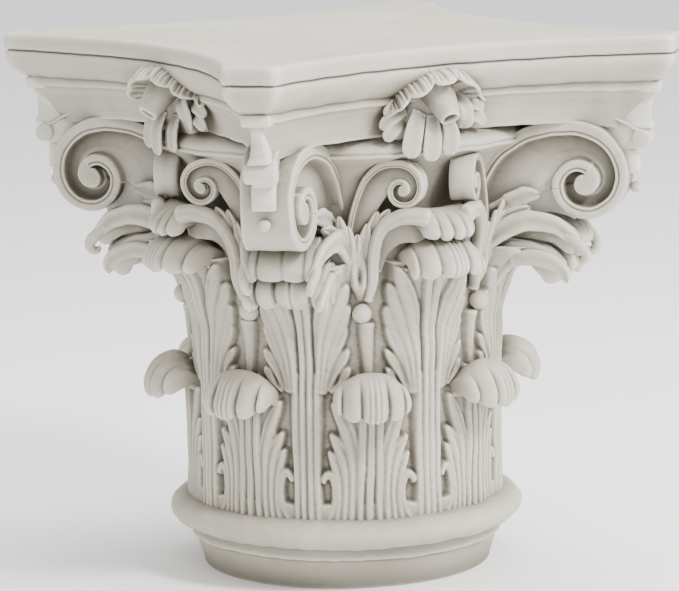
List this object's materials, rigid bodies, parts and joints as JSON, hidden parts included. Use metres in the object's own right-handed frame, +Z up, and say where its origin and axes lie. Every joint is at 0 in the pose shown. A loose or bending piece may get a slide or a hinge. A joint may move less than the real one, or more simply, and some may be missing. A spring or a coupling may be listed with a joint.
{
  "type": "corinthian capital",
  "caption": "Corinthian capital cast in one piece: round base ring, tiers of curled acanthus leaves, corner volutes and a hollow-sided square abacus; stands as a low pedestal.",
  "frame": {"origin": "middle of the flat underside of the base ring", "axes": "+Z up along the capital's axis; the hollow sides of the abacus face along X and Y, its cut corners lie on the diagonals"},
  "size_m": [0.4872, 0.4872, 0.5],
  "materials": {
    "cast_stone": "matt antique stone, cream with a warm grey wash in the hollows"
  },
  "bodies": {
    "root": {"capital": "cast_stone"}
  },
  "joints": []
}
